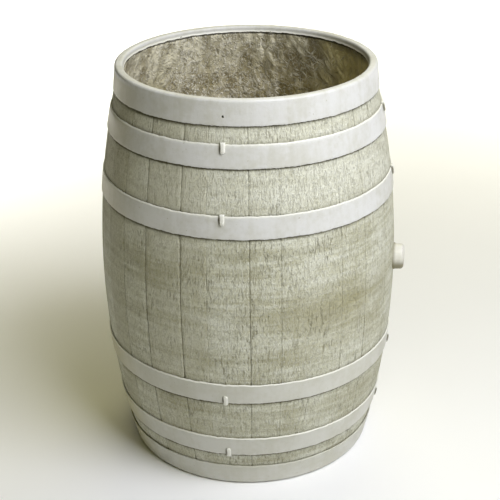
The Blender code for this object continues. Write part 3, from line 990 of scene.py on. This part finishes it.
# %% Make the bung
def make_bung():
    face = stave_radius(BUNG_HEIGHT)
    out = bung_high.x - face
    back = bung_low.x - face
    head, end, edge, stem = 0.032, 0.03, 0.0085, 0.0256
    section = [(0.0, out - 0.0004), (end * 0.5, out - 0.0001)]
    section += round_corner((end - edge, out - edge), edge, 90, 4, 8)
    section += between((end, out - edge), (head - 0.0012, 0.004), 5)
    section += [(head - 0.0009, 0.0032), (head - 0.0002, 0.0014), (head, 0.0), (head, -0.0008)]
    section += [(stem, -0.0012), (stem - 0.0006, -0.009), (stem - 0.0016, back + 0.002)]
    section += round_corner((stem - 0.004, back + 0.002), 0.002, 0, -90, 3)
    section += [(0.0, back)]
    around = 96
    shape = bmesh.new()
    chain = [shape.verts.new((r, 0.0, z)) for r, z in section]
    edges = [shape.edges.new(pair) for pair in zip(chain, chain[1:])]
    bmesh.ops.spin(shape, geom=chain + edges, cent=(0, 0, 0), axis=(0, 0, 1),
                   angle=2 * math.pi, steps=around, use_merge=True)
    bmesh.ops.remove_doubles(shape, verts=shape.verts, dist=0.00001)
    bmesh.ops.recalc_face_normals(shape, faces=shape.faces)
    # The head's back follows the staves, which fall away on both sides of it.
    for vertex in shape.verts:
        if -0.001 < vertex.co.z < 0.004:
            sag = BELLY_RADIUS - math.sqrt(BELLY_RADIUS ** 2 - vertex.co.y ** 2)
            vertex.co.z -= sag * (0.004 - vertex.co.z) / 0.005
    place = Matrix.Translation((face, 0, BUNG_HEIGHT)) @ Matrix.Rotation(math.radians(90), 4, "Y")
    bmesh.ops.transform(shape, matrix=place, verts=shape.verts)
    mesh = mesh_from(shape, "cream_bung")
    mesh.materials.append(bung_finish)
    print("bung:", len(mesh.polygons), "faces")
    # Dirt and painted shade round the base, where the bung meets the staves.
    store(mesh, "grime", [max(0.0, 1.0 - abs(v.co.x - face) / 0.006) for v in mesh.vertices])
    return show(mesh)


bung = make_bung()

# %% [markdown]
# ## Hoop clips
#
# Small clips are nailed over the hoops' edges to stop them slipping. All sixteen are alike, so
# one tongue is shaped and Geometry Nodes set it out: four points on a circle for each
# hoop, and a copy on each point that leans as the hoop leans there.

# %% Shape one clip
CLIP_LENGTH = 0.0205
CLIP_PROUD = 0.0042


def make_clip_mesh():
    """A tongue with X across, Y out of the hoop and Z along it; its origin is the hoop's corner."""
    rows = 15
    columns = 8
    shape = bmesh.new()
    grid = []
    for i in range(rows + 1):
        along = 0.0042 - (0.0042 + CLIP_LENGTH) * i / rows
        fade = min(1.0, max(0.0, (along + CLIP_LENGTH) / 0.0055))
        half = CLIP_WIDTH / 2 * math.sqrt(max(0.0, 1 - (1 - fade) ** 2)) * (0.92 + 0.08 * fade)
        hook = max(0.0, along) / 0.0042
        line = []
        for j in range(columns + 1):
            side = -1 + 2 * j / columns
            dome = (1 - abs(side) ** 5) ** 0.5
            crown = CLIP_PROUD * (0.62 + 0.38 * fade) * dome * (1 - 0.35 * hook ** 3)
            line.append(shape.verts.new((half * side, crown, along)))
        grid.append(line)
    for a, b in zip(grid, grid[1:]):
        for j in range(columns):
            shape.faces.new((a[j], a[j + 1], b[j + 1], b[j]))
    rim = [e for e in shape.edges if len(e.link_faces) == 1]
    skirt = bmesh.ops.extrude_edge_only(shape, edges=rim)["geom"]
    low = [g for g in skirt if isinstance(g, bmesh.types.BMVert)]
    for vertex in low:
        vertex.co.y = -PROUD if vertex.co.z > 0.0002 else -0.0004
    ends = [e for e in shape.edges if len(e.link_faces) == 1]
    bmesh.ops.holes_fill(shape, edges=ends)
    bmesh.ops.remove_doubles(shape, verts=shape.verts, dist=0.00002)
    # The tip closes to a line, so the skirt's faces there have no area.
    flat = [face for face in shape.faces if face.calc_area() < 1e-12]
    bmesh.ops.delete(shape, geom=flat, context="FACES")
    bmesh.ops.recalc_face_normals(shape, faces=shape.faces)
    return mesh_from(shape, "clip_tongue")


# %% Tree: set out the clips
def make_clip_tree():
    t = ShapeTree("set_out_clips", {"Radius": 0.33, "Height": 0.5, "Lean": 0.0, "Flip": 0.0,
                                    "Material": None})
    circle = t.node("GeometryNodeMeshCircle", None,
                    {"Vertices": 4, "Radius": t.value("Radius")})
    raised = t.node("GeometryNodeTransform", None,
                    {"Geometry": circle, "Translation": t.join(0.0, 0.0, t.value("Height"))})
    turn = t.math("ARCTAN2", t.part(t.place, "Y"), t.part(t.place, "X")) - math.pi / 2
    lean = t.join(t.value("Lean"), t.value("Flip") * math.pi, 0.0)
    around = t.join(0.0, 0.0, turn)
    stand = t.node("FunctionNodeRotateRotation", None,
                   {0: t.node("FunctionNodeEulerToRotation", None, {0: lean}),
                    1: t.node("FunctionNodeEulerToRotation", None, {0: around})})
    return t.close(t.node("GeometryNodeInstanceOnPoints", None,
                          {"Points": raised, "Instance": t.start, "Rotation": stand}))


def make_clips():
    tree = make_clip_tree()
    tongue = make_clip_mesh()
    rows = []
    for name in HOOPS:
        low, high = hoop_spans[name]
        upper = low > BELLY_HEIGHT
        z = high if upper else low
        lean = math.atan((stave_radius(z + 0.001) - stave_radius(z - 0.001)) / 0.002)
        row = show(tongue.copy())
        row.name = name + "_clip_row"
        shaped(row, tree, {"Radius": stave_radius(z) + PROUD, "Height": z,
                           "Lean": -lean if upper else lean, "Flip": 0.0 if upper else 1.0,
                           "Material": hoop_finish})
        rows.append(row)
    joined = bmesh.new()
    for row in rows:
        joined.from_mesh(row.data)
        bpy.data.objects.remove(row)
    mesh = mesh_from(joined, "hoop_clips")
    mesh.materials.append(hoop_finish)
    # Painted highlight: the clips are lightened all over.
    store(mesh, "ledge", [0.7] * len(mesh.vertices))
    print("clips:", len(mesh.polygons), "faces")
    return show(mesh)


clips = make_clips()

# %% [markdown]
# ## Loose strands
#
# A few strands of glass never lay down. They stick to the wall in small nests and poke out from
# under the lip. Geometry Nodes scatter short lines over the lining, bend each by noise, and give
# it a thin round section.

# %% Tree: scatter strands
def make_strand_tree():
    t = ShapeTree("loose_strands", {
        "Count per Area": 300.0, "Strand Radius": 0.0003, "Length": 0.03, "Curl": 0.022,
        "Lowest": 0.3, "Tumble": 1.0, "Material": None})
    nests = t.smooth(t.noise(t.place, 9, 1, 2, 0.5, 40), 0.44, 0.68)
    high = t.smooth(t.part(t.place, "Z"), t.value("Lowest"), t.value("Lowest") + 0.08)
    shown = t.stored("rough_side") * nests * high
    spread = t.node("GeometryNodeDistributePointsOnFaces", {"distribute_method": "RANDOM"},
                    {"Mesh": t.start, "Density": t.value("Count per Area") * shown, "Seed": 4})
    line = t.node("GeometryNodeCurvePrimitiveLine", None,
                  {"Start": (-0.5, 0.0, 0.0), "End": (0.5, 0.0, 0.0)})
    fine = t.node("GeometryNodeResampleCurve", None, {"Curve": line, "Count": 7})
    angles = t.node("FunctionNodeRandomValue", {"data_type": "FLOAT_VECTOR"},
                    {0: (-3.1, -3.1, -3.1), 1: (3.1, 3.1, 3.1), "Seed": 9})
    tumble = t.value("Tumble")
    turned = t.vector("MULTIPLY", angles, t.join(tumble, tumble, 1.0))
    spin = t.node("FunctionNodeRotateRotation", {"rotation_space": "LOCAL"},
                  {0: Wire(t, spread.socket.node.outputs["Rotation"]),
                   1: t.node("FunctionNodeEulerToRotation", None, {0: turned})})
    size = t.node("FunctionNodeRandomValue", {"data_type": "FLOAT"},
                  {2: 0.35, 3: 1.2, "Seed": 11}, 1) * t.value("Length")
    copies = t.node("GeometryNodeInstanceOnPoints", None,
                    {"Points": spread, "Instance": fine, "Rotation": spin,
                     "Scale": t.join(size, size, size)})
    real = t.node("GeometryNodeRealizeInstances", None, {0: copies})
    swirl = t.node("ShaderNodeTexNoise", {"noise_dimensions": "3D"},
                   {"Vector": t.place, "Scale": 45.0, "Detail": 1.0}, "Color")
    bend = t.node("ShaderNodeVectorMath", {"operation": "SCALE"},
                  {0: t.vector("SUBTRACT", swirl, (0.5, 0.5, 0.5)), "Scale": t.value("Curl")})
    bent = t.node("GeometryNodeSetPosition", None, {"Geometry": real, "Offset": bend})
    section = t.node("GeometryNodeCurvePrimitiveCircle", None,
                     {"Resolution": 3, "Radius": t.value("Strand Radius")})
    return t.close(t.node("GeometryNodeCurveToMesh", None,
                          {"Curve": bent, "Profile Curve": section, "Fill Caps": True}))


def make_strands(tree, loose, values):
    """Strands kept within a depth of loose metres from the lining, and never in it."""
    source = show(lining.data.copy())
    shaped(source, tree, dict(values, Material=strand_finish))
    for vertex in source.data.vertices:
        z = min(max(vertex.co.z, 0.02), 0.93)
        limit = stave_radius(z) - BEHIND_SKIN - MAT - 0.003
        reach = vertex.co.xy.length
        kept = min(max(reach, limit - loose), limit)
        vertex.co.x *= kept / reach
        vertex.co.y *= kept / reach
        vertex.co.z = z
    return source


strand_tree = make_strand_tree()
strands = make_strands(strand_tree, 0.03, {})
laid = make_strands(strand_tree, 0.0022, {
    "Count per Area": 1700.0, "Strand Radius": 0.0007, "Length": 0.032, "Curl": 0.006,
    "Lowest": 0.58, "Tumble": 0.0})
both = bmesh.new()
for part in (strands, laid):
    both.from_mesh(part.data)
both.to_mesh(strands.data)
both.free()
bpy.data.objects.remove(laid)
strands.name = "loose_glass_strands"
print("strands:", len(strands.data.polygons), "faces")

# %% [markdown]
# ## Hand the pieces over
#
# Every piece rides on the barrel, apart from the bung, which has a body of its own and slides
# out along +X.

# %% Settle the pieces
settle(staves, "stave_gelcoat", "stave_shell")
settle(collar, "hoop_gelcoat", "rim_collar")
settle(foot, "hoop_gelcoat", "foot_hoop")
for name, band in hoop_bands.items():
    settle(band, "hoop_gelcoat", name)
settle(lining, "raw_glass_mat", "glass_mat_lining")
settle(floor_laminate, "raw_glass_mat", "base_head")
settle(fillet, "raw_glass_mat", "base_bond_fillet")
settle(clips, "hoop_gelcoat", *sorted(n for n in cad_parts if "_clip_" in n))
settle(strands, "raw_glass_mat")
settle(bung, "bung_gelcoat", "bung", body="bung")

# %% [markdown]
# ## Floor, light and camera
#
# The drum stands on a plain pale floor. One large soft light comes from high on the right, so
# that the left side falls into olive shade, and weak warm lights keep that side readable. Three
# more light only the floor. The camera is a long lens that looks down by about 25 degrees.

# %% Floor
def make_stage_floor():
    f = Finish("pale_floor")
    tone = f.noise(f.place, 3, detail=2)
    f.color = f.mix(tone, (0.9, 0.9, 0.9), (0.92, 0.92, 0.92))
    f.surface(0.85 + tone * 0.05, tone, 0.0001)
    bpy.ops.mesh.primitive_plane_add(size=60.0, location=(0, 0, -0.0005))
    plane = bpy.context.object
    plane.name = "pale_floor"
    plane.data.materials.append(f.material)


make_stage_floor()

# %% Light
CAMERA_ANGLE = -80.5        # round the drum from +X, where the camera stands


def place_on_sphere(degrees, elevation, distance, target):
    turn, rise = math.radians(degrees), math.radians(elevation)
    return target + distance * Vector(
        (math.cos(turn) * math.cos(rise), math.sin(turn) * math.cos(rise), math.sin(rise)))


target = Vector((0, 0, HEIGHT / 2))


def hang_light(name, location, size, power, color):
    light = bpy.data.lights.new(name, "AREA")
    light.size = size
    light.energy = power
    light.color = color
    obj = bpy.data.objects.new(name, light)
    obj.location = location
    bpy.context.scene.collection.objects.link(obj)
    return obj


def add_light(name, degrees, elevation, distance, size, power, color):
    """A square soft light, degrees to the right of the camera and aimed at the drum."""
    location = place_on_sphere(CAMERA_ANGLE + degrees, elevation, distance, target)
    obj = hang_light(name, location, size, power, color)
    obj.rotation_euler = (target - obj.location).to_track_quat("-Z", "Y").to_euler()


add_light("key", 44.0, 49.0, 3.1, 2.1, 119.0, (0.905, 0.918, 1.0))
add_light("front", 12.0, 50.0, 4.2, 2.5, 18.0, (1.0, 0.94, 0.25))
add_light("back", 170.0, 45.0, 4.5, 3.0, 52.0, (1.0, 0.94, 0.46))
add_light("low_left", -72.0, -14.0, 1.35, 0.7, 0.6, (1.0, 0.95, 0.55))


def light_floor(name, degrees, reach, height, size, power):
    """A light that looks straight down through a narrow grid, so that it misses the drum."""
    location = place_on_sphere(CAMERA_ANGLE + degrees, 0.0, reach, Vector((0, 0, height)))
    obj = hang_light(name, location, size, power, (1.0, 0.98, 0.93))
    obj.data.spread = math.radians(75)


light_floor("floor_left", -140.0, 3.6, 3.0, 3.0, 66.0)
light_floor("floor_back", -178.0, 5.0, 3.2, 4.0, 74.0)
light_floor("floor_right", 140.0, 3.8, 3.0, 3.0, 32.0)

world = bpy.data.worlds.new("studio")
bpy.context.scene.world = world
world.use_nodes = True
sky = world.node_tree.nodes["Background"]
sky.inputs["Color"].default_value = (1.0, 0.97, 0.8, 1.0)
sky.inputs["Strength"].default_value = 0.02
print("lights:", len(bpy.data.lights))

# %% Camera
LENS = 87.55
CAMERA_ELEVATION = 25.38
CAMERA_DISTANCE = 2.94
CAMERA_ROLL = 0.77
camera_data = bpy.data.cameras.new("camera")
camera_data.lens = LENS
camera_data.sensor_width = 36.0
camera_data.shift_x = 0.003
camera_data.shift_y = -0.0018
camera = bpy.data.objects.new("camera", camera_data)
camera.location = place_on_sphere(CAMERA_ANGLE, CAMERA_ELEVATION, CAMERA_DISTANCE, target)
aim = (target - camera.location).to_track_quat("-Z", "Y").to_matrix().to_4x4()
roll = Matrix.Rotation(math.radians(-CAMERA_ROLL), 4, "Z")
camera.matrix_world = Matrix.Translation(camera.location) @ aim @ roll
bpy.context.scene.collection.objects.link(camera)
bpy.context.scene.camera = camera
bpy.context.scene.view_settings.view_transform = "Standard"
print("camera at", [round(value, 3) for value in camera.location])
